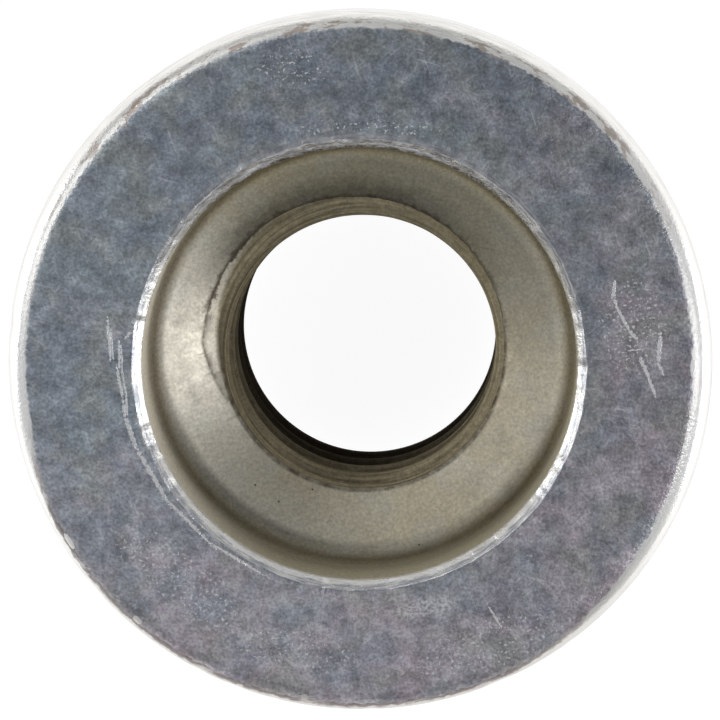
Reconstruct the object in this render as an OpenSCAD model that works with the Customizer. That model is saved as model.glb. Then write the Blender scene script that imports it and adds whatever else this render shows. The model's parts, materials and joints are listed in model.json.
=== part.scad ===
// Hexagon flange nut whose bearing face is recessed around the thread.
// It stands on its hexagon end at Z = 0, with the bearing face up and the thread axis along Z.
// All sizes are in millimetres.

/* [Thread] */
// nominal thread diameter
thread_d = 8; // [6:0.5:9]
// thread pitch
thread_pitch = 1.25; // [0.75:0.25:1.75]
// how much wider the bore is, on each side, where it leaves the floor of the recess
lead_w = 0.2; // [0.05:0.05:0.4]
// length of the taper from there down to the full thread
lead_h = 0.8; // [0.4:0.1:1.5]
// mouth diameter of the countersink at the hexagon end
foot_sink_d = 8.6; // [7.5:0.1:10]
// included angle of the countersink at the hexagon end
foot_sink_angle = 90; // [80:5:120]

/* [Body] */
// overall height from the hexagon end to the bearing face
nut_h = 10; // [8:0.5:14]
// hexagon size across the flats
hex_af = 13; // [12:0.5:15]
// diameter of the flat ring left inside the hexagon chamfer
hex_ring_d = 12.2; // [10.5:0.1:12.8]
// angle of the hexagon chamfer above the end face
hex_chamfer_angle = 30; // [15:5:45]

/* [Flange] */
// outer diameter of the flange
flange_d = 17.2; // [16:0.2:22]
// thickness of the flange at its rim
flange_rim_h = 2; // [1.4:0.1:3]
// edge radius where the rim meets the bearing face
rim_face_r = 0.6; // [0.2:0.05:0.7]
// edge radius where the rim meets the sloping back of the flange
rim_back_r = 0.5; // [0.2:0.05:0.7]
// slope of the back of the flange, from level
flange_back_angle = 25; // [10:1:30]

/* [Recess] */
// diameter of the straight wall of the recess
recess_d = 10.6; // [9.5:0.1:12]
// depth of the wall, measured to the corner where it would meet the floor
recess_h = 2.6; // [1.5:0.1:4]
// radius of the hollow between the wall and the floor
recess_floor_r = 0.7; // [0.2:0.1:1.2]
// included angle of the conical floor
recess_floor_angle = 140; // [100:5:160]
// width of the bevel that breaks the edge of the mouth
mouth_bevel = 0.22; // [0.1:0.02:0.4]

/* [Hidden] */
$fn = 96;
// how far a cut runs on past a face
past = 1;
// how far an arc dips through the sloping line that it blends into
dip = 0.0002;
// the bore is at the minor diameter of a metric thread
bore_r = (thread_d - 1.0825 * thread_pitch) / 2;
lead_r = bore_r + lead_w;
hex_corner_r = hex_af / sqrt(3);
flange_r = flange_d / 2;
recess_r = recess_d / 2;
hex_top_z = nut_h - flange_rim_h;

// height of the back of the flange at radius r
function flange_back_z(r) = hex_top_z - (flange_r - r) * tan(flange_back_angle);

// height of the floor of the recess at radius r
function floor_z(r) = nut_h - recess_h - (recess_r - r) / tan(recess_floor_angle / 2);

// section of the flange: flat face, rounded rim, sloping back
module flange_section() {
    face_arc = [flange_r - rim_face_r, nut_h - rim_face_r];
    back_arc = [
        flange_r - rim_back_r,
        flange_back_z(flange_r - rim_back_r) + rim_back_r / cos(flange_back_angle) - dip
    ];
    back_end = back_arc + [0, dip] + rim_back_r * [sin(flange_back_angle), -cos(flange_back_angle)];
    polygon([
        [0, flange_back_z(0)],
        back_end,
        [flange_r, back_arc.y],
        [flange_r, face_arc.y],
        [face_arc.x, nut_h],
        [0, nut_h]
    ]);
    translate(face_arc)
        circle(r = rim_face_r);
    translate(back_arc)
        circle(r = rim_back_r);
}

// section of everything cut out along the axis: countersink, bore, taper, floor, hollow corner, wall, bevel
module cut_section() {
    sink_slope = tan(foot_sink_angle / 2);
    floor_tilt = 90 - recess_floor_angle / 2;
    hollow = [
        recess_r - recess_floor_r,
        floor_z(recess_r - recess_floor_r) + recess_floor_r / cos(floor_tilt) - dip
    ];
    hollow_end = hollow + [0, dip] + recess_floor_r * [sin(floor_tilt), -cos(floor_tilt)];
    polygon([
        [0, -past],
        [foot_sink_d / 2 + past * sink_slope, -past],
        [bore_r, (foot_sink_d / 2 - bore_r) / sink_slope],
        [bore_r, floor_z(lead_r) - lead_h],
        [lead_r, floor_z(lead_r)],
        hollow_end,
        [recess_r, hollow.y],
        [recess_r, nut_h - mouth_bevel],
        [recess_r + mouth_bevel + past, nut_h + past],
        [0, nut_h + past]
    ]);
    translate(hollow)
        circle(r = recess_floor_r);
}

// hexagon with its corners turned off to a flat ring at the end
module hexagon_body() {
    intersection() {
        rotate([0, 0, 30])
            cylinder(r = hex_corner_r, h = hex_top_z, $fn = 6);
        rotate_extrude()
            polygon([
                [0, 0],
                [hex_ring_d / 2, 0],
                [hex_ring_d / 2 + hex_af, hex_af * tan(hex_chamfer_angle)],
                [hex_ring_d / 2 + hex_af, nut_h + hex_af],
                [0, nut_h + hex_af]
            ]);
    }
}

module nut() {
    color("silver")
        difference() {
            union() {
                hexagon_body();
                rotate_extrude()
                    flange_section();
            }
            rotate_extrude()
                cut_section();
        }
}

nut();
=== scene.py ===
"""A worn, zinc-plated hexagon flange nut, looked at on its recessed bearing face."""

import json
import math

import bpy
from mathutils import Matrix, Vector, noise


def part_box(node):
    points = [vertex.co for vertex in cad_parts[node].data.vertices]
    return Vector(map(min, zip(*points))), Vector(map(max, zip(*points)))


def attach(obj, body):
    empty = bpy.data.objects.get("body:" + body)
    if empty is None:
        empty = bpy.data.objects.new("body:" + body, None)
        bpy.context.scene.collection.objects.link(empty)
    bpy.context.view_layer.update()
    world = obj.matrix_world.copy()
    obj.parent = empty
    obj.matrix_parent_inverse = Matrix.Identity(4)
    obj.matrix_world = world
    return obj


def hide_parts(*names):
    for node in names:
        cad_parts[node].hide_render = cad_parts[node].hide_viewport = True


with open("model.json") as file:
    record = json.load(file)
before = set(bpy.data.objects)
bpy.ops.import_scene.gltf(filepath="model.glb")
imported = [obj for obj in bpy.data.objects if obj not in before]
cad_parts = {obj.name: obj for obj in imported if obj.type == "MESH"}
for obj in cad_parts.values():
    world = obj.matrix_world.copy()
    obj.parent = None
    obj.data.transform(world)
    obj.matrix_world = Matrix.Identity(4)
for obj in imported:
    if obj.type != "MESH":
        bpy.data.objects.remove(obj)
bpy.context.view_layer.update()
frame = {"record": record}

MM = 0.001
TAU = math.tau

# Sizes in millimetres. The main ones come from the frame, and the rest are those of the solid.
mounts = {m["name"]: m for m in frame["record"]["mounts"]}
box_low, box_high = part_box("nut")
NUT_H = (box_high[2] - box_low[2]) / MM
FLANGE_R = min(box_high[0], -box_low[0]) / MM
BORE_R = mounts["thread"]["dims"]["r_mm"]
RECESS_R = mounts["recess"]["dims"]["r_mm"]
HEX_FLAT_R = 6.5
HEX_RING_R = 6.1
HEX_CHAMFER = math.radians(30)
RIM_H = 2.0
RIM_FACE_ROUND = 0.6
RIM_BACK_ROUND = 0.5
BACK_SLOPE = math.tan(math.radians(25))
MOUTH_BEVEL = 0.22
RECESS_H = 2.6
HOLLOW_ROUND = 0.7
FLOOR_SLOPE = 1 / math.tan(math.radians(70))
LEAD_W = 0.2
LEAD_H = 0.8
LEAD_R = BORE_R + LEAD_W
FOOT_SINK_R = 4.3

# Roundings of edges that the solid leaves sharp
HEX_CORNER_ROUND = 0.25
HEX_RING_ROUND = 0.2
HEX_CHAMFER_ROUND = 0.1
HEX_FLANGE_ROUND = 0.25
FOOT_ROUND = 0.04
MOUTH_ROUND = 0.05

# Thread: metric, right hand
PITCH = 1.25
MAJOR_R = 4.0
CREST_ROUND = 0.05
FLANK_SLOPE = math.sqrt(3)
# Half the width of the flat at the bottom of the groove
ROOT_HALF = PITCH / 16
# The thread's own mesh reaches from the foot countersink to this radius on the floor of the recess
ZONE_R = 4.25
# Where the groove first breaks the floor of the recess, counter-clockwise from +X
THREAD_START = math.radians(155)
# Torn edge of the first turn: its depth, and how far it goes below the end of the bore
TORN_DEPTH = 0.05
TORN_H = 0.5
# Line of dirt along that edge: its height, and how far it goes below the end of the bore
DIRT_LINE = 0.03
DIRT_H = 0.3

# Wear: how far round the mouth's edge it reaches, and the depth of fine chips, coarse chips and dents
CHIP_REACH = 0.35
FINE_CHIP = 0.06
COARSE_CHIP = 0.05
RIM_DENT = 0.05

COLUMNS = 432
# Rows of the section's mesh in the recess, which has a material of its own
WALL_STEPS = 5
HOLLOW_STEPS = 10
FLOOR_STEPS = 6
RECESS_ROWS = WALL_STEPS + HOLLOW_STEPS + FLOOR_STEPS
# Rows of the thread's mesh in one turn, as parts of the pitch from the middle of the groove
HALF_TURN = (0.0, 0.0625, 0.12, 0.18, 0.24, 0.30, 0.345, 0.375, 0.405, 0.45)
TURN_ROWS = HALF_TURN + (0.5,) + tuple(1 - p for p in reversed(HALF_TURN[1:]))
# How often the search for an edge of the thread halves its range
HALVINGS = 18
# Faces that meet at more than this are shaded with a sharp edge
SHARP_ANGLE = math.radians(40)


def smooth_step(low, high, x):
    t = min(max((x - low) / (high - low), 0), 1)
    return t * t * (3 - 2 * t)


def smooth_max(a, b, width):
    """The larger of two values, with the corner between them rounded off."""
    h = max(width - abs(a - b), 0) / width
    return max(a, b) + h * h * width / 4


def uneven(angle, z, scale, seed):
    """Smooth noise from -1 to 1 round the nut, which closes on itself."""
    return noise.noise(Vector((math.cos(angle) * scale, math.sin(angle) * scale, z + seed)))


def hexagon_radius(angle):
    """Distance from the axis to the side of the hexagon, whose corners are rounded."""
    sector = math.radians(60)
    off = abs((angle + sector / 2) % sector - sector / 2)
    inner = HEX_FLAT_R - HEX_CORNER_ROUND
    side_end = inner * math.tan(sector / 2)
    if HEX_FLAT_R * math.tan(off) <= side_end:
        return HEX_FLAT_R / math.cos(off)
    along = inner * math.cos(off) + side_end * math.sin(off)
    return along + math.sqrt(HEX_CORNER_ROUND ** 2 - inner ** 2 - side_end ** 2 + along ** 2)


def flange_back_z(r):
    return NUT_H - RIM_H - (FLANGE_R - r) * BACK_SLOPE


def floor_z(r):
    return NUT_H - RECESS_H - (RECESS_R - r) * FLOOR_SLOPE


ZONE_LOW = FOOT_SINK_R - ZONE_R
ZONE_HIGH = floor_z(ZONE_R)
# Height at which the bore leaves the floor of the recess
LEAD_Z = floor_z(LEAD_R)
# Height of the middle of the groove at angle 0
GROOVE_Z = floor_z(MAJOR_R) - PITCH * THREAD_START / TAU


def rounded(corners):
    """Points along a line of corners.

    Each corner is its radius, height, rounding, steps of its arc, and steps of the straight before it.
    """
    places = [Vector(c[:2]) for c in corners]
    points = [places[0]]
    for i in range(1, len(corners)):
        here = places[i]
        _, _, rounding, arc_steps, steps = corners[i]
        arc = [here]
        if rounding:
            back = (places[i - 1] - here).normalized()
            on = (places[i + 1] - here).normalized()
            half = back.angle(on) / 2
            middle = here + (back + on).normalized() * rounding / math.sin(half)
            start = here + back * rounding / math.tan(half) - middle
            end = here + on * rounding / math.tan(half) - middle
            arc = [middle + start.slerp(end, k / arc_steps) * rounding for k in range(arc_steps + 1)]
        last = points[-1]
        points += [last.lerp(arc[0], k / steps) for k in range(1, steps)] + arc
    return points


def section(angle):
    """Section at that angle, from the foot countersink round the outside to the floor of the recess."""
    side = hexagon_radius(angle)
    chamfer_z = (side - HEX_RING_R) * math.tan(HEX_CHAMFER)
    return rounded([
        (ZONE_R, ZONE_LOW, 0, 0, 0),
        (FOOT_SINK_R, 0, FOOT_ROUND, 2, 2),
        (HEX_RING_R, 0, HEX_RING_ROUND, 3, 4),
        (side, chamfer_z, HEX_CHAMFER_ROUND, 3, 3),
        (side, flange_back_z(side), HEX_FLANGE_ROUND, 4, 6),
        (FLANGE_R, NUT_H - RIM_H, RIM_BACK_ROUND, 6, 4),
        (FLANGE_R, NUT_H, RIM_FACE_ROUND, 10, 3),
        (RECESS_R + MOUTH_BEVEL, NUT_H, MOUTH_ROUND, 3, 12),
        (RECESS_R, NUT_H - MOUTH_BEVEL, MOUTH_ROUND, 3, 3),
        (RECESS_R, NUT_H - RECESS_H, HOLLOW_ROUND, HOLLOW_STEPS, WALL_STEPS),
        (ZONE_R, ZONE_HIGH, 0, 0, FLOOR_STEPS),
    ])


def plain_bore(z):
    """Radius of the bore with no thread: countersink, bore, taper, floor of the recess."""
    if z > LEAD_Z:
        return LEAD_R + (z - LEAD_Z) / FLOOR_SLOPE
    taper = max(z - LEAD_Z + LEAD_H, 0) / LEAD_H
    return max(FOOT_SINK_R - z, BORE_R + (LEAD_R - BORE_R) * taper)


def groove(z, turn):
    """Radius of the thread's groove at a height and an angle in turns. Its first turn has a torn edge."""
    off = ((z - GROOVE_Z) / PITCH - turn + 0.5) % 1 - 0.5
    torn = 0
    if z > LEAD_Z - TORN_H:
        torn = smooth_step(0.05, 0.15, off) * uneven(TAU * turn, 0, 26, 40) * TORN_DEPTH
    return MAJOR_R - max(abs(off) * PITCH - ROOT_HALF, 0) * FLANK_SLOPE + torn


def edge_heights(turn, rows):
    """Heights at which the groove cuts the plain bore, and the edge where the bore leaves the recess."""
    def depth(z):
        return plain_bore(z) - groove(z, turn)

    edges = []
    if depth(LEAD_Z) >= 0:
        edges.append(LEAD_Z)
    inside = [min(max(z, ZONE_LOW), ZONE_HIGH) for z in rows]
    for low, high in zip(inside, inside[1:]):
        if depth(low) * depth(high) >= 0:
            continue
        for _ in range(HALVINGS):
            middle = (low + high) / 2
            if depth(low) * depth(middle) > 0:
                low = middle
            else:
                high = middle
        edges.append(low)
    return edges


def thread_column(turn, places):
    """Heights of the thread's rows at one angle, and the rows that were moved onto an edge."""
    rows = [GROOVE_Z + PITCH * (p + turn) for p in places]
    on_edge = set()
    for z in edge_heights(turn, rows):
        j = min(range(len(rows)), key=lambda k: abs(rows[k] - z))
        rows[j] = z
        on_edge.add(j)
        if z > LEAD_Z - DIRT_H:
            rows[j + 1] = z + DIRT_LINE
    return rows, on_edge


def worn(point, angle):
    """Chips the edge of the mouth and flattens the rim a little, always into the metal."""
    r, z = point
    depth = NUT_H - z
    from_mouth = abs(r - RECESS_R - MOUTH_BEVEL / 2)
    at_mouth = smooth_step(CHIP_REACH, 0.0, from_mouth) * smooth_step(0.5, 0.1, depth)
    if at_mouth > 0:
        chip = max(uneven(angle, r, 30, 3), 0) * FINE_CHIP + max(uneven(angle, r, 9, 8), 0) * COARSE_CHIP
        return Vector((r + at_mouth * chip * 0.5, z - at_mouth * chip))
    at_rim = smooth_step(FLANGE_R - RIM_FACE_ROUND, FLANGE_R, r) * smooth_step(1.2, 0.2, depth)
    dent = max(uneven(angle, z, 14, 21) - 0.25, 0) * RIM_DENT
    return Vector((r - at_rim * dent, z - at_rim * dent))


def nut_mesh():
    """The nut as one closed mesh: its section swept round the axis, and the turns of the thread."""
    vertices = []
    dirt = []

    def add(point, angle, edge_darkened=0.0):
        r, z = worn(point, angle)
        vertices.append((r * math.cos(angle) * MM, r * math.sin(angle) * MM, z * MM))
        dirt.append(edge_darkened)
        return len(vertices) - 1

    first = math.floor((ZONE_LOW - GROOVE_Z) / PITCH - 1)
    last = math.ceil((ZONE_HIGH - GROOVE_Z) / PITCH)
    places = [m + p for m in range(first, last + 1) for p in TURN_ROWS]
    outer = []
    inner = []
    edges = []
    for i in range(COLUMNS):
        turn = i / COLUMNS
        angle = TAU * turn
        ring = [add(p, angle) for p in section(angle)]
        rows, on_edge = thread_column(turn, places)
        column = []
        for j, z in enumerate(rows):
            if z <= ZONE_LOW:
                column.append(ring[0])
            elif z >= ZONE_HIGH:
                column.append(ring[-1])
            else:
                r = smooth_max(plain_bore(z), groove(z, turn), CREST_ROUND)
                column.append(add((r, z), angle, float(j in on_edge and z > LEAD_Z - DIRT_H)))
        outer.append(ring)
        inner.append(column)
        edges.append(on_edge)

    faces = []
    in_recess = []

    def add_face(recessed, *corners):
        kept = list(dict.fromkeys(corners))
        if len(kept) > 2:
            faces.append(kept)
            in_recess.append(int(recessed))

    for i in range(COLUMNS):
        a, b = outer[i], outer[(i + 1) % COLUMNS]
        for k in range(len(a) - 1):
            add_face(k >= len(a) - 1 - RECESS_ROWS, a[k], b[k], b[k + 1], a[k + 1])
        a, b = inner[i], inner[(i + 1) % COLUMNS]
        a_edges, b_edges = edges[i], edges[(i + 1) % COLUMNS]
        if i == COLUMNS - 1:
            # After a full turn, each row meets the one a pitch above it
            b = b[len(TURN_ROWS):] + [b[-1]] * len(TURN_ROWS)
            b_edges = {j - len(TURN_ROWS) for j in b_edges}
        for j in range(len(a) - 1):
            # A face that an edge crosses is split along it
            if j + 1 in a_edges and j in b_edges:
                add_face(True, a[j], a[j + 1], b[j])
                add_face(True, a[j + 1], b[j + 1], b[j])
            elif j in a_edges and j + 1 in b_edges:
                add_face(True, a[j], a[j + 1], b[j + 1])
                add_face(True, a[j], b[j + 1], b[j])
            else:
                add_face(True, a[j], a[j + 1], b[j + 1], b[j])

    mesh = bpy.data.meshes.new("nut_plated")
    mesh.from_pydata(vertices, [], faces)
    mesh.attributes.new("dirt", "FLOAT", "POINT").data.foreach_set("value", dirt)
    mesh.materials.append(plate_material())
    mesh.materials.append(recess_material())
    mesh.polygons.foreach_set("material_index", in_recess)
    mesh.polygons.foreach_set("use_smooth", [True] * len(mesh.polygons))
    mesh.set_sharp_from_angle(angle=SHARP_ANGLE)
    return mesh


# A spot's half size along the axis, so large that height makes no difference to it
ANY_HEIGHT = 1000
# Half length of a streak's spot, as a part of the streak, because a spot fades towards its ends
STREAK_REACH = 0.75


class Nodes:
    """Short forms for building a material's nodes. A share is a value from 0 to 1."""

    def __init__(self, material):
        material.use_nodes = True
        self.tree = material.node_tree
        self.shader = self.tree.nodes["Principled BSDF"]

    def new(self, kind, inputs=(), **settings):
        node = self.tree.nodes.new("ShaderNode" + kind)
        for name, value in settings.items():
            setattr(node, name, value)
        for key, value in dict(inputs).items():
            self.put(node.inputs[key], value)
        return node

    def put(self, socket, value):
        if isinstance(value, bpy.types.NodeSocket):
            self.tree.links.new(value, socket)
        else:
            socket.default_value = value

    def set(self, name, value):
        self.put(self.shader.inputs[name], value)

    def math(self, operation, a, b=0.0, c=0.0):
        return self.new("Math", {0: a, 1: b, 2: c}, operation=operation).outputs[0]

    def attribute(self, name):
        return self.new("Attribute", attribute_name=name).outputs["Fac"]

    def noise(self, vector, scale, detail=3.0, roughness=0.5):
        inputs = {"Vector": vector, "Scale": scale, "Detail": detail, "Roughness": roughness}
        return self.new("TexNoise", inputs).outputs["Fac"]

    def band(self, value, low, high, out_low=0.0, out_high=1.0):
        """value taken from low..high to out_low..out_high, held at the ends."""
        inputs = {"Value": value, 1: low, 2: high, 3: out_low, 4: out_high}
        return self.new("MapRange", inputs).outputs["Result"]

    def both(self, a, b):
        return self.math("MULTIPLY", a, b)

    def rest(self, share):
        return self.math("SUBTRACT", 1.0, share)

    def any_of(self, shares):
        total = shares[0]
        for share in shares[1:]:
            total = self.math("MAXIMUM", total, share)
        return total

    def grey(self, value):
        return self.new("CombineColor", {0: value, 1: value, 2: value}).outputs[0]

    def mix(self, share, a, b, blend="MIX"):
        node = self.new("Mix", data_type="RGBA", blend_type=blend)
        self.put(node.inputs[0], share)
        self.put(node.inputs[6], a)
        self.put(node.inputs[7], b)
        return node.outputs[2]

    def shaded(self, colour, shade):
        return self.mix(1.0, colour, self.grey(shade), "MULTIPLY")

    def stretched(self, vector, scale, turn):
        """Coordinates for noise that is drawn out; scale says by how much along each axis."""
        inputs = {"Vector": vector, "Scale": scale, "Rotation": (0, 0, math.radians(turn))}
        return self.new("Mapping", inputs, vector_type="TEXTURE").outputs[0]

    def moved(self, vector, offset):
        return self.new("VectorMath", {0: vector, 1: offset}, operation="ADD").outputs[0]

    def dots(self, vector, scale, size, share):
        """Small round dots, one in some of the cells of a grid; share says in how many."""
        cells = self.new("TexVoronoi", {"Vector": vector, "Scale": scale})
        pick = self.new("SeparateColor", {0: cells.outputs["Color"]}).outputs[0]
        near = self.band(cells.outputs["Distance"], size, size * 0.6)
        return self.both(near, self.band(pick, 1 - share, 1 - share + 0.01))

    def spot(self, vector, middle, half_size, turn):
        """1 in the middle of an ellipse on the bearing face, falling to 0 at its outline."""
        inputs = {
            "Vector": vector,
            "Location": (*middle, NUT_H),
            "Rotation": (0, 0, math.radians(turn)),
            "Scale": (*half_size, ANY_HEIGHT),
        }
        place = self.new("Mapping", inputs, vector_type="TEXTURE").outputs[0]
        return self.new("TexGradient", {"Vector": place}, gradient_type="SPHERICAL").outputs["Fac"]

    def streak(self, vector, start, end, half_width):
        """A narrow spot along the line from start to end."""
        along = Vector(end) - Vector(start)
        middle = (Vector(start) + Vector(end)) / 2
        turn = math.degrees(math.atan2(along.y, along.x))
        return self.spot(vector, middle, (along.length * STREAK_REACH, half_width), turn)

    def bump(self, height, strength, distance, normal=None):
        inputs = {"Height": height, "Strength": strength, "Distance": distance}
        if normal:
            inputs["Normal"] = normal
        return self.new("Bump", inputs).outputs[0]


def rgb(r, g, b):
    return (r, g, b, 1)


PLAIN_ZINC = rgb(0.50, 0.52, 0.56)
# Colours of the bearing face
BLUE_GREY = rgb(0.435, 0.47, 0.525)
PALE_MAUVE = rgb(0.66, 0.615, 0.665)
PURPLE = rgb(0.64, 0.54, 0.61)
TEAL = rgb(0.47, 0.55, 0.57)
OLIVE = rgb(0.53, 0.53, 0.46)
NAVY = rgb(0.37, 0.41, 0.485)
# Pale marks: worn scratches and specks, whose whiteness is partly painted glint
MARK_WEAR_AND_GLINT_WHITE = rgb(0.93, 0.93, 0.94)
# Colours of the rim
RIM_GREY = rgb(0.74, 0.73, 0.70)
RIM_BRIGHT = rgb(0.90, 0.89, 0.86)
# White of the worn nicks, and a painted highlight at the rim's left and right sides
RIM_WORN_AND_LIT_WHITE = rgb(1.0, 0.99, 0.97)
# Painted shade on the rim's lower side
RIM_SHADE = rgb(0.62, 0.59, 0.56)
RIM_SIDE = rgb(0.60, 0.61, 0.63)
RIM_BROWN = rgb(0.42, 0.34, 0.29)
RIM_DARK = rgb(0.20, 0.17, 0.165)
# Colours of the mouth's bevel
BEVEL_GREY = rgb(0.46, 0.48, 0.53)
BEVEL_WHITE = rgb(0.98, 0.97, 0.95)
# Painted shade for the bevel's upper side: dull grey with pale blotches, darker along its inner edge
BEVEL_SHADE_GREY = rgb(0.50, 0.50, 0.54)
BEVEL_PALE = rgb(0.96, 0.96, 0.98)
BEVEL_EDGE_DARK = rgb(0.16, 0.15, 0.13)
# Colours of the recess
KHAKI = rgb(0.66, 0.59, 0.44)
PALE_KHAKI = rgb(0.71, 0.66, 0.53)
DULL_KHAKI = rgb(0.55, 0.50, 0.41)
# Painted shade and painted highlight of the floor
SHADE_KHAKI = rgb(0.46, 0.42, 0.30)
HIGHLIGHT_KHAKI = rgb(0.66, 0.63, 0.57)
STONE = rgb(0.63, 0.63, 0.58)
WALL_KHAKI = rgb(0.63, 0.58, 0.44)
# Painted light and painted shade of the wall
WALL_LIT = rgb(0.95, 0.88, 0.74)
WALL_SHADE = rgb(0.50, 0.455, 0.34)
SPECK_BROWN = rgb(0.34, 0.28, 0.20)
DOT_BROWN = rgb(0.14, 0.12, 0.09)
# Painted highlight along the brim of the recess
BRIM_HIGHLIGHT = rgb(0.95, 0.94, 0.91)
# Colours of the bore
BORE_KHAKI = rgb(0.47, 0.41, 0.28)
# Painted shade deep in the bore
BORE_SHADE = rgb(0.042, 0.034, 0.025)
BORE_DIRT = rgb(0.10, 0.08, 0.06)

# Scratches on the bearing face: both ends in millimetres from the axis, half width
SCRATCHES = [
    ((-6.10, 1.10), (-6.05, 0.18), 0.035),
    ((-6.03, 0.85), (-5.98, 0.20), 0.03),
    ((-5.83, 0.55), (-5.83, -0.06), 0.035),
    ((-5.78, 0.43), (-5.76, -0.06), 0.03),
    ((-5.88, -0.11), (-5.74, -0.88), 0.045),
    ((-5.74, -0.88), (-5.71, -1.31), 0.04),
    ((-5.77, -0.10), (-5.67, -0.73), 0.035),
    ((-5.67, -0.73), (-5.66, -1.26), 0.035),
    ((-5.67, 0.67), (-5.47, 0.88), 0.05),
    ((6.19, 2.04), (6.16, 1.68), 0.05),
    ((6.17, 1.70), (6.25, 1.42), 0.045),
    ((6.23, 1.46), (6.55, 0.87), 0.05),
    ((6.55, 0.87), (6.73, 0.67), 0.06),
    ((6.82, 0.19), (7.02, -0.26), 0.06),
    ((7.02, -0.26), (7.18, -0.71), 0.05),
    ((7.31, 0.76), (7.25, 0.10), 0.06),
    ((7.25, 0.10), (7.36, -0.19), 0.045),
    ((6.51, 0.38), (6.91, 0.43), 0.03),
    ((3.15, -5.90), (3.45, -6.40), 0.035),
    ((-2.40, -5.12), (-3.66, -4.36), 0.05),
    ((-3.66, -4.36), (-4.71, -3.30), 0.06),
    ((-4.71, -3.30), (-5.45, -2.00), 0.07),
    ((-5.45, -2.00), (-5.72, -1.20), 0.07),
]
# A pale scuff on it: middle, half size, turn in degrees
SCUFF = ((1.6, -5.95), (1.0, 0.30), 12)
# Clusters of bright specks on it, painted glints, in the same terms
SPARKLES = [
    ((3.1, -6.9), (2.3, 0.8), 20),
    ((-4.4, -5.3), (2.5, 0.9), -40),
    ((-1.6, -7.0), (2.0, 0.7), -10),
    ((-1.6, 7.2), (1.1, 0.6), 0),
    ((0.2, 5.75), (2.4, 0.3), 0),
    ((6.6, 1.0), (1.0, 1.6), 0),
]
# Nicks where the bright rim reaches further in, in the same terms
RIM_NICKS = [
    ((-5.76, 5.96), (0.24, 0.11), -45),
    ((-6.98, 4.45), (0.20, 0.11), -32),
    ((-8.10, -2.05), (0.26, 0.09), 75),
    ((-7.10, -4.35), (0.26, 0.08), -60),
    ((-5.45, -6.30), (0.16, 0.09), -45),
    ((-1.35, -8.20), (0.12, 0.09), 0),
    ((5.78, -6.00), (0.34, 0.09), 45),
    ((6.75, -4.98), (0.34, 0.09), 55),
    ((8.10, -0.05), (0.26, 0.08), 90),
]
# Directions of the hairlines, in degrees, and their width and length
HAIR_TURNS = (20, 75, 130)
HAIR_SIZE = (0.06, 1.2, 1)
# Depth of the relief of the scratches, and of the grain outside and in the recess
CUT_DEPTH = 0.03
GRAIN_DEPTH = 0.03
RECESS_GRAIN_DEPTH = 0.02
# Where the worn rim starts on the lower side, and how low it reaches
RIM_EDGE = FLANGE_R - 0.24
RIM_LOW_Z = NUT_H - RIM_H - 0.6
# Inside this radius a nick of the rim lies on the flat of the face; its border is this wide
NICK_R = FLANGE_R - 0.48
NICK_BORDER = 0.06
# How far the dirt along the thread's edge starts before the groove does, in turns
DIRT_LEAD = 0.05
# The edge that the groove cuts in the floor of the recess: its fall in a turn, and its radius at the start
EDGE_RATIO = 1 + FLANK_SLOPE * FLOOR_SLOPE
EDGE_FALL = FLANK_SLOPE * PITCH / EDGE_RATIO
EDGE_START = (MAJOR_R + FLANK_SLOPE * (ROOT_HALF + MAJOR_R * FLOOR_SLOPE)) / EDGE_RATIO
EDGE_START += EDGE_FALL * DIRT_LEAD
# Heights between which the plain zinc at the foot gives way to the bore, dark with painted shade
FOOT_LOW_Z = 1.0
FOOT_HIGH_Z = 1.3
# Height at which the painted shade in the bore is darkest
BORE_SHADE_Z = 2.8


class Places:
    """Where a point of the surface lies, and the noises that several colours share.

    east and north give its direction from the axis, along +X and +Y.
    """

    def __init__(self, n):
        place = n.new("TexCoord").outputs["Object"]
        self.mm = n.new("VectorMath", {0: place, 1: (1 / MM,) * 3}, operation="MULTIPLY").outputs[0]
        self.x, self.y, self.z = n.new("SeparateXYZ", {0: self.mm}).outputs
        flat = n.new("CombineXYZ", {0: self.x, 1: self.y}).outputs[0]
        self.radius = n.new("VectorMath", {0: flat}, operation="LENGTH").outputs["Value"]
        facing = n.new("VectorMath", {0: flat}, operation="NORMALIZE").outputs[0]
        self.east, self.north, _ = n.new("SeparateXYZ", {0: facing}).outputs
        self.below = n.both(n.band(self.north, -0.15, -0.45), n.band(self.east, 0.8, 0.45))
        self.clouds = n.noise(self.mm, 0.5, 2)
        self.mottle = n.noise(self.mm, 1.6, 6, 0.72)
        self.grain = n.noise(self.mm, 13, 2, 0.6)
        self.ragged = n.noise(self.mm, 4.5, 4, 0.65)


def lanes(n, p, lane, around, across):
    """Coordinates that run round the axis, for streaks along the circumference."""
    inputs = {
        0: n.math("MULTIPLY", p.east, around),
        1: n.math("MULTIPLY", p.north, around),
        2: n.math("MULTIPLY", lane, across),
    }
    return n.new("CombineXYZ", inputs).outputs[0]


def jittered(n, p, value, amount):
    """A value in millimetres, made uneven by about that many of them."""
    return n.math("MULTIPLY_ADD", n.math("SUBTRACT", p.ragged, 0.5), amount * 2, value)


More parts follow.
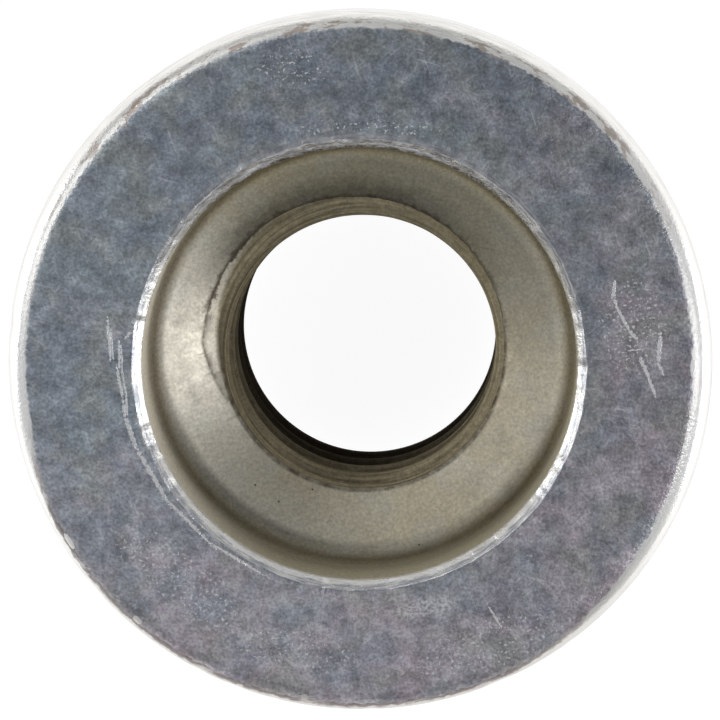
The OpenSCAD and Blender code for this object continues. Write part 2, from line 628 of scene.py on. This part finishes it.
def plate_colour(n, p):
    """Bearing face: navy and blue-grey above, purple and paler to the lower right, painted light to the
    lower left, painted shade on the lower edge.
    """
    slant = n.math("MULTIPLY_ADD", p.y, -0.045, n.math("MULTIPLY_ADD", p.x, 0.03, p.clouds))
    plate = n.mix(n.band(slant, 0.3, 0.75), BLUE_GREY, PALE_MAUVE)
    patch = n.band(n.noise(n.moved(p.mm, (11, 2, 0)), 0.8, 2), 0.49, 0.60, 0, 0.7)
    plate = n.mix(n.both(patch, n.band(slant, 0.36, 0.62)), plate, PURPLE)
    patch = n.band(n.noise(n.moved(p.mm, (3, 8, 0)), 0.75, 2), 0.50, 0.62, 0, 0.35)
    plate = n.mix(patch, plate, TEAL)
    patch = n.band(n.noise(n.moved(p.mm, (7, 3, 0)), 0.9, 2), 0.50, 0.62, 0, 0.35)
    plate = n.mix(patch, plate, OLIVE)
    patch = n.band(n.noise(n.moved(p.mm, (1, 5, 0)), 0.7, 3), 0.50, 0.60, 0, 0.5)
    plate = n.mix(patch, plate, NAVY)
    # Painted light: the face grows lighter towards the left and below
    painted_light_falloff = n.math("MULTIPLY_ADD", p.x, -0.027, n.math("MULTIPLY_ADD", p.y, -0.015, 1.15))
    shade = n.both(painted_light_falloff, n.band(p.mottle, 0.3, 0.7, 0.69, 1.28))
    shade = n.both(shade, n.band(p.ragged, 0.3, 0.7, 0.78, 1.22))
    shade = n.both(shade, n.band(p.grain, 0.3, 0.7, 0.73, 1.27))
    # Painted shade on the rounding along the lower edge
    shaded_low_edge = n.both(n.band(p.radius, RIM_EDGE - 0.3, RIM_EDGE, 0.0, 0.45), p.below)
    return n.shaded(plate, n.both(shade, n.rest(shaded_low_edge)))


def face_marks_and_glints(n, p):
    """Pale marks on the bearing face, partly wear and partly painted glints, and those of them that are
    cut into it.
    """
    sparkle = n.band(n.any_of([n.spot(p.mm, *s) for s in SPARKLES]), 0.0, 0.35)
    speckle = n.noise(n.moved(p.mm, (5, 5, 0)), 13, 2, 0.5)
    specks = n.band(n.math("MULTIPLY_ADD", sparkle, 0.05, speckle), 0.65, 0.69)
    specks = n.both(specks, n.any_of([sparkle, n.band(p.clouds, 0.40, 0.60, 0.1, 0.5)]))
    hairs = n.any_of([n.noise(n.stretched(p.mm, HAIR_SIZE, turn), 1, 1) for turn in HAIR_TURNS])
    hairs = n.both(n.band(hairs, 0.65, 0.74, 0, 0.5), n.band(p.mottle, 0.42, 0.6))
    scuff = n.band(n.spot(p.mm, *SCUFF), 0.0, 0.5)
    scuff = n.both(scuff, n.band(p.grain, 0.42, 0.60, 0.1, 0.8))
    lines = n.any_of([n.streak(p.mm, *s) for s in SCRATCHES])
    lines = n.band(n.both(lines, n.band(p.grain, 0.38, 0.62, 0.4, 1.6)), 0.14, 0.42)
    return n.any_of([specks, hairs, scuff, lines]), lines


def rim_edge(n, p):
    """An uneven radius to set against RIM_EDGE: the worn rim is wider above, at the sides and at nicks."""
    sides = n.band(n.math("ABSOLUTE", p.north), 0.7, 0.2, 0.0, 0.08)
    upper = n.band(p.below, 0.0, 1.0, 0.19, 0.0)
    nicks = n.any_of([n.spot(p.mm, *s) for s in RIM_NICKS])
    nicks = n.band(n.both(nicks, n.band(p.grain, 0.38, 0.62, 0.5, 1.5)), 0.02, 0.3, 0.0, 0.4)
    inward = n.math("ADD", n.math("ADD", sides, upper), nicks)
    return n.math("ADD", jittered(n, p, p.radius, 0.12), inward)


def rim_colour(n, p, edge):
    """Rim worn bright, with brown patches above and a dark line along its inner side below; painted
    highlights at its left and right, painted shade at its bottom.
    """
    lane = n.math("SUBTRACT", p.radius, p.z)
    streaks = n.noise(lanes(n, p, lane, 12, 9), 1, 3, 0.6)
    patches = n.noise(lanes(n, p, lane, 10, 3), 1, 4, 0.68)
    bright = n.mix(n.band(streaks, 0.35, 0.65), RIM_GREY, RIM_BRIGHT)
    # Painted highlight on the top of the rim at its left and right sides
    sides = n.band(n.math("ABSOLUTE", p.north), 0.85, 0.3)
    sides = n.both(sides, n.band(p.z, NUT_H - 0.45, NUT_H - 0.25))
    nick = n.band(p.radius, NICK_R, NICK_R - NICK_BORDER)
    bright = n.mix(n.any_of([sides, nick]), bright, RIM_WORN_AND_LIT_WHITE)
    # Painted shade on the rim's lower side
    bright = n.mix(n.band(p.north, -0.5, -0.9, 0, 0.8), bright, RIM_SHADE)
    bright = n.mix(n.band(p.z, NUT_H - 0.9, NUT_H - 1.7, 0, 0.75), bright, RIM_SIDE)
    above = n.both(n.band(patches, 0.53, 0.57), n.band(p.north, 0.25, 0.7, 0.0, 0.8))
    above = n.both(above, n.band(edge, RIM_EDGE + 0.26, RIM_EDGE + 0.20))
    above = n.both(above, n.rest(nick))
    below = n.both(n.band(patches, 0.36, 0.50, 0.25, 0.9), p.below)
    below = n.both(below, n.band(edge, RIM_EDGE + 0.15, RIM_EDGE + 0.10))
    return n.mix(below, n.mix(above, bright, RIM_BROWN), RIM_DARK)


def rim_dullness(n, p):
    """How matte the inner half of the rim is: less so at the upper left, more so in the nicks."""
    upper_left = n.math("SUBTRACT", n.math("MULTIPLY", p.north, 0.6), n.math("MULTIPLY", p.east, 0.8))
    nick = n.band(p.radius, NICK_R, NICK_R - NICK_BORDER, 0.0, 0.9)
    dulled = n.any_of([n.band(upper_left, 0.80, 0.95, 0.8, 0.35), nick])
    return n.both(dulled, n.band(p.radius, FLANGE_R - 0.16, FLANGE_R - 0.30))


def on_mouth(n, p):
    """The share that the mouth's bright bevel has, with a frayed border that is wider above."""
    nicks = n.band(n.noise(lanes(n, p, p.radius, 40, 1), 1, 2, 0.6), 0.52, 0.66, 0.0, 0.2)
    wider = n.math("ADD", nicks, n.band(p.north, 0.4, 0.95, 0.0, 0.12))
    frayed = n.math("SUBTRACT", jittered(n, p, p.radius, 0.16), wider)
    near = n.band(frayed, RECESS_R + 0.30, RECESS_R + 0.20)
    return n.both(near, n.band(p.z, NUT_H - 0.5, NUT_H - 0.3))


def mouth_colour(n, p):
    """Bevel of the mouth: bright streaks along it; painted shade on the upper side, which is dull and
    dark-edged.
    """
    lane = n.math("ADD", p.radius, p.z)
    streaks = n.noise(lanes(n, p, lane, 10, 13), 1, 4, 0.65)
    inner = n.band(jittered(n, p, p.radius, 0.05), RECESS_R + 0.14, RECESS_R + 0.08, 0.0, 0.2)
    bright = n.mix(n.band(n.math("ADD", streaks, inner), 0.44, 0.66), BEVEL_GREY, BEVEL_WHITE)
    blotchy = n.math("ADD", n.math("MULTIPLY", streaks, 0.5), n.math("MULTIPLY", p.ragged, 0.5))
    # Painted shade on the upper side of the bevel
    shaded_upper = n.mix(n.band(blotchy, 0.42, 0.58), BEVEL_SHADE_GREY, BEVEL_PALE)
    # Darker along the inner edge on the upper side
    edge_darkened = n.band(p.radius, RECESS_R + 0.10, RECESS_R + 0.04)
    edge_darkened = n.both(edge_darkened, n.band(p.ragged, 0.45, 0.55, 0.0, 0.9))
    shaded_upper = n.mix(edge_darkened, shaded_upper, BEVEL_EDGE_DARK)
    return n.mix(n.band(p.north, 0.45, 0.9), bright, shaded_upper)


def plate_material():
    """The outside: cloudy blue-grey zinc plate with bright worn edges, and painted light and shade on the
    face, rim and bevel.
    """
    material = bpy.data.materials.new("zinc_plate")
    n = Nodes(material)
    p = Places(n)
    edge = rim_edge(n, p)
    rim = n.both(n.band(edge, RIM_EDGE, RIM_EDGE + 0.04), n.band(p.z, RIM_LOW_Z, RIM_LOW_Z + 0.2))
    mouth = on_mouth(n, p)
    on_face = n.both(n.rest(mouth), n.rest(rim))
    on_face = n.both(on_face, n.band(p.z, NUT_H - 0.3, NUT_H - 0.1))
    marks_and_glints, lines = face_marks_and_glints(n, p)
    marks_and_glints = n.both(marks_and_glints, on_face)

    # Pale marks, partly wear and partly painted glints
    colour = n.mix(marks_and_glints, plate_colour(n, p), MARK_WEAR_AND_GLINT_WHITE)
    colour = n.mix(n.band(p.z, NUT_H - 1.0, NUT_H - 2.0, 0.0, 0.65), colour, PLAIN_ZINC)
    colour = n.mix(rim, colour, rim_colour(n, p, edge))
    n.set("Base Color", n.mix(mouth, colour, mouth_colour(n, p)))
    matte = n.any_of([n.math("MULTIPLY", marks_and_glints, 0.6), n.both(rim, rim_dullness(n, p))])
    n.set("Metallic", n.rest(matte))
    n.set("Specular IOR Level", 0.0)
    rough = n.band(p.mottle, 0.3, 0.7, 0.30, 0.44)
    rough = n.math("MULTIPLY_ADD", rim, -0.14, rough)
    n.set("Roughness", n.math("MULTIPLY_ADD", mouth, -0.08, rough))
    fine = n.bump(p.grain, 0.35, GRAIN_DEPTH * MM)
    n.set("Normal", n.bump(n.both(lines, on_face), 1.0, CUT_DEPTH * MM, fine))
    return material


def floor_colour(n, p):
    """Floor of the recess: dull khaki, with painted shade above and a greyer painted highlight on the
    left.
    """
    khaki = n.mix(n.band(p.clouds, 0.35, 0.65), KHAKI, PALE_KHAKI)
    khaki = n.mix(n.band(p.mottle, 0.50, 0.70, 0, 0.4), khaki, DULL_KHAKI)
    khaki = n.shaded(khaki, n.band(p.ragged, 0.3, 0.7, 0.94, 1.06))
    # Painted shade on the upper part of the floor
    khaki = n.mix(n.band(p.y, 1.0, 5.0, 0, 0.6), khaki, SHADE_KHAKI)
    # Painted highlight, greyer, on the left of the floor
    khaki = n.mix(n.band(p.east, -0.6, -0.95, 0, 0.6), khaki, HIGHLIGHT_KHAKI)
    patch = n.band(n.noise(n.moved(p.mm, (4, 1, 0)), 0.9, 3), 0.52, 0.62, 0, 0.25)
    return n.mix(patch, khaki, STONE)


def wall_colour(n, p):
    """Wall of the recess: painted light on the left, painted shade on its lower side and towards the
    floor.
    """
    # Painted light on the left of the wall
    wall = n.mix(n.band(p.east, -0.4, -0.9), WALL_KHAKI, WALL_LIT)
    # Painted shade on the lower side of the wall
    wall = n.mix(n.band(p.north, -0.7, -0.98, 0.0, 0.6), wall, WALL_SHADE)
    # Painted shade towards the floor, slightly lighter near the mouth
    return n.shaded(wall, n.band(p.z, NUT_H - 2.2, NUT_H - 1.2, 0.8, 1.05))


def recess_colour(n, p, wall):
    """Floor and wall of the recess, with grain, specks and a painted highlight along the brim. wall is the
    wall's share.
    """
    colour = n.mix(wall, floor_colour(n, p), wall_colour(n, p))
    colour = n.shaded(colour, n.band(p.grain, 0.3, 0.7, 0.83, 1.17))
    specks = n.band(n.noise(n.moved(p.mm, (2, 9, 0)), 5, 3, 0.6), 0.66, 0.72, 0.0, 0.35)
    colour = n.mix(specks, colour, SPECK_BROWN)
    colour = n.mix(n.dots(p.mm, 1.9, 0.06, 0.5), colour, DOT_BROWN)
    # Painted highlight along the brim, except on the upper side
    brim_highlight = n.band(jittered(n, p, p.z, 0.12), NUT_H - 0.33, NUT_H - 0.28, 0.0, 0.9)
    return n.mix(n.both(brim_highlight, n.band(p.north, 0.6, 0.2)), colour, BRIM_HIGHLIGHT)


def groove_edge(n, p, angle):
    """Place beside the edge that the groove cuts in the floor: turns past its start, way out from it."""
    turned = n.math("FRACT", n.math("MULTIPLY_ADD", angle, -1 / TAU, THREAD_START / TAU + DIRT_LEAD))
    edge = n.math("MINIMUM", n.math("MULTIPLY_ADD", turned, -EDGE_FALL, EDGE_START), MAJOR_R)
    return turned, n.math("SUBTRACT", jittered(n, p, p.radius, 0.2), edge)


def recess_shade(n, p, turned, beyond):
    """Shade of the recess: dark beside the groove and to the lower left and right.

    The hollow corner is dark on the lower side and light on the upper.
    """
    # Painted shade in the hollow corner on the lower side, painted light on the upper
    hollow = n.band(p.radius, RECESS_R - 0.54, RECESS_R - 0.38)
    hollow = n.both(hollow, n.band(p.z, NUT_H - 2.2, NUT_H - 2.65))
    hollow = n.both(hollow, n.band(p.north, 0.5, -0.7, -0.2, 0.46))
    # Painted shade on the floor just outside the groove's edge
    groove_shade = n.both(n.band(beyond, 0.70, 0.2), n.band(beyond, -0.06, 0.0))
    groove_shade = n.both(groove_shade, n.both(n.band(turned, 0.03, 0.09), n.band(turned, 0.42, 0.27, 0.0, 0.55)))
    # Painted shade on the floor to the lower left and right
    slanted = n.band(n.math("ABSOLUTE", n.both(p.east, p.north)), 0.2, 0.5)
    slanted = n.both(slanted, n.band(p.north, 0.0, -0.3, 0.0, 0.17))
    return n.both(n.rest(n.any_of([groove_shade, slanted])), n.rest(hollow))


def bore_colour(n, p, angle):
    """Bore: khaki with painted shade that darkens downwards, painted light towards +X, and rings of
    painted highlight and shade that follow the thread.
    """
    phase = n.math("MULTIPLY_ADD", p.z, TAU / PITCH, n.math("MULTIPLY", angle, -1.0))
    winding = {
        0: n.math("MULTIPLY", n.math("COSINE", phase), 4.0),
        1: n.math("MULTIPLY", n.math("SINE", phase), 4.0),
        2: n.math("MULTIPLY_ADD", p.z, 0.8, n.math("MULTIPLY", p.east, 1.5)),
    }
    # Rings of painted highlight and shade that follow the thread's turns
    crest_light_rings = n.noise(n.new("CombineXYZ", winding).outputs[0], 1, 3, 0.65)
    # Painted shade deepening down the bore
    bore = n.mix(n.band(p.z, LEAD_Z, BORE_SHADE_Z), BORE_KHAKI, BORE_SHADE)
    # Painted light towards +X, times the rings
    side_light_and_rings = n.both(n.band(p.east, -0.2, 0.9, 0.85, 1.5), n.band(crest_light_rings, 0.35, 0.65, 0.65, 1.3))
    fine = n.both(n.band(p.grain, 0.3, 0.7, 0.8, 1.2), n.band(p.ragged, 0.3, 0.7, 0.82, 1.18))
    return n.shaded(n.shaded(bore, side_light_and_rings), fine)


def bore_dirt(n, p, turned, beyond):
    """Dirt along the edge that the groove cuts in the floor, and along the end of the bore."""
    line = n.both(n.band(beyond, 0.13, 0.02), n.band(beyond, -0.07, -0.03))
    line = n.both(line, n.both(n.band(turned, 0.0, 0.03), n.band(turned, 0.47, 0.30, 0.3, 0.85)))
    line = n.both(line, n.band(p.z, LEAD_Z - 0.05, LEAD_Z + 0.02))
    brink = n.band(p.radius, LEAD_R + 0.11, LEAD_R + 0.05)
    brink = n.both(brink, n.band(p.z, LEAD_Z - 0.15, LEAD_Z - 0.05))
    brink = n.both(n.any_of([brink, n.attribute("dirt")]), n.band(p.ragged, 0.35, 0.6, 0.4, 0.9))
    return n.any_of([line, brink])


def recess_material():
    """The recess and the bore: dull khaki with painted light and shade, painted shade in the hollow corner
    and down the bore, and a torn brown edge at the thread.
    """
    material = bpy.data.materials.new("zinc_recess")
    n = Nodes(material)
    p = Places(n)
    angle = n.math("ARCTAN2", p.y, p.x)
    turned, beyond = groove_edge(n, p, angle)
    wall = n.band(p.z, NUT_H - 2.5, NUT_H - 1.9)
    wall = n.both(wall, n.band(p.radius, RECESS_R - 0.12, RECESS_R - 0.02))
    in_bore = n.band(p.z, LEAD_Z + 0.02, LEAD_Z - 0.05)
    in_bore = n.both(in_bore, n.band(p.radius, MAJOR_R + 0.1, MAJOR_R + 0.05))

    colour = n.shaded(recess_colour(n, p, wall), recess_shade(n, p, turned, beyond))
    colour = n.mix(in_bore, colour, bore_colour(n, p, angle))
    colour = n.mix(bore_dirt(n, p, turned, beyond), colour, BORE_DIRT)
    n.set("Base Color", n.mix(n.band(p.z, FOOT_HIGH_Z, FOOT_LOW_Z), colour, PLAIN_ZINC))
    n.set("Metallic", n.rest(n.any_of([in_bore, n.math("MULTIPLY", wall, 0.7)])))
    n.set("Specular IOR Level", 0.0)
    n.set("Roughness", n.band(p.mottle, 0.3, 0.7, 0.36, 0.50))
    n.set("Normal", n.bump(p.grain, 0.15, RECESS_GRAIN_DEPTH * MM))
    return material


def build_nut():
    nut = bpy.data.objects.new("nut_plated", nut_mesh())
    bpy.context.scene.collection.objects.link(nut)
    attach(nut, "root")
    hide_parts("nut")


# The floor glows as a light table does, so the hole shows white. Its side is in metres.
FLOOR_SIZE = 3.0
FLOOR_GLOW = 0.92


def build_floor():
    half = FLOOR_SIZE / 2
    mesh = bpy.data.meshes.new("floor")
    corners = [(-half, -half, 0), (half, -half, 0), (half, half, 0), (-half, half, 0)]
    mesh.from_pydata(corners, [], [(0, 1, 2, 3)])
    floor = bpy.data.objects.new("floor", mesh)
    bpy.context.scene.collection.objects.link(floor)
    material = bpy.data.materials.new("floor_white")
    n = Nodes(material)
    n.set("Base Color", rgb(0.2, 0.2, 0.2))
    n.set("Roughness", 0.9)
    n.set("Emission Color", rgb(1, 1, 1))
    n.set("Emission Strength", FLOOR_GLOW)
    mesh.materials.append(material)


def panel(name, place, size, brightness):
    """A soft box that faces the nut, in metres. brightness is the light that its surface shows."""
    light = bpy.data.lights.new(name, "AREA")
    light.shape = "RECTANGLE"
    light.size, light.size_y = size
    light.energy = brightness * math.pi * size[0] * size[1]
    box = bpy.data.objects.new(name, light)
    box.location = place
    toward_nut = Vector((0, 0, NUT_H * MM)) - Vector(place)
    box.rotation_euler = toward_nut.to_track_quat("-Z", "Y").to_euler()
    bpy.context.scene.collection.objects.link(box)


def build_light():
    """A grey ceiling over paler walls, a strong soft box on the right and weaker ones round about."""
    world = bpy.data.worlds.new("studio")
    bpy.context.scene.world = world
    world.use_nodes = True
    tree = world.node_tree
    coordinates = tree.nodes.new("ShaderNodeTexCoord")
    split = tree.nodes.new("ShaderNodeSeparateXYZ")
    ramp = tree.nodes.new("ShaderNodeValToRGB")
    tree.links.new(coordinates.outputs["Generated"], split.inputs[0])
    tree.links.new(split.outputs["Z"], ramp.inputs[0])
    tree.links.new(ramp.outputs[0], tree.nodes["Background"].inputs["Color"])
    walls, ceiling = ramp.color_ramp.elements
    walls.position = 0.26
    walls.color = rgb(0.60, 0.60, 0.60)
    ceiling.position = 0.46
    ceiling.color = rgb(0.23, 0.24, 0.25)
    panel("box_right", (0.28, -0.05, 0.32), (0.10, 0.20), 4.4)
    panel("box_left", (-0.25, 0.19, 0.30), (0.60, 0.17), 1.2)
    panel("low_right", (0.50, -0.06, 0.07), (0.32, 0.14), 2.8)
    panel("low_left", (-0.50, 0.06, 0.07), (0.32, 0.14), 2.2)


# Camera, read off the photograph. In pixels: the picture's side, and the radius and middle of the rim.
IMAGE_SIDE = 720
RIM_PIXELS = 350.6
RIM_CENTRE = (360.2, 360.9)
# Distance in millimetres, and the tilt, from how the far end of the bore shrinks and shifts up and right
CAMERA_FAR = 100
TILT = math.radians(7.25)
TILT_TURN = math.radians(15)
SENSOR = 36
# Nearest and farthest that the camera sees, in metres
SEEN_FROM = 0.01
SEEN_TO = 10


def build_camera():
    scale = RIM_PIXELS / FLANGE_R
    aim = Vector((0, 0, NUT_H - RIM_H / 2))
    toward = Vector((
        math.sin(TILT) * math.sin(TILT_TURN),
        math.sin(TILT) * math.cos(TILT_TURN),
        math.cos(TILT),
    ))
    turn = Vector((0, 0, 1)).rotation_difference(toward)
    off_centre = Vector((IMAGE_SIDE / 2 - RIM_CENTRE[0], RIM_CENTRE[1] - IMAGE_SIDE / 2, 0)) / scale
    camera = bpy.data.cameras.new("camera")
    camera.sensor_width = SENSOR
    camera.lens = SENSOR * CAMERA_FAR * scale / IMAGE_SIDE
    camera.clip_start = SEEN_FROM
    camera.clip_end = SEEN_TO
    view = bpy.data.objects.new("camera", camera)
    view.rotation_euler = turn.to_euler()
    view.location = (aim + turn @ off_centre + toward * CAMERA_FAR) * MM
    bpy.context.scene.collection.objects.link(view)
    bpy.context.scene.camera = view


build_nut()
build_floor()
build_light()
build_camera()
bpy.context.scene.view_settings.view_transform = "Standard"
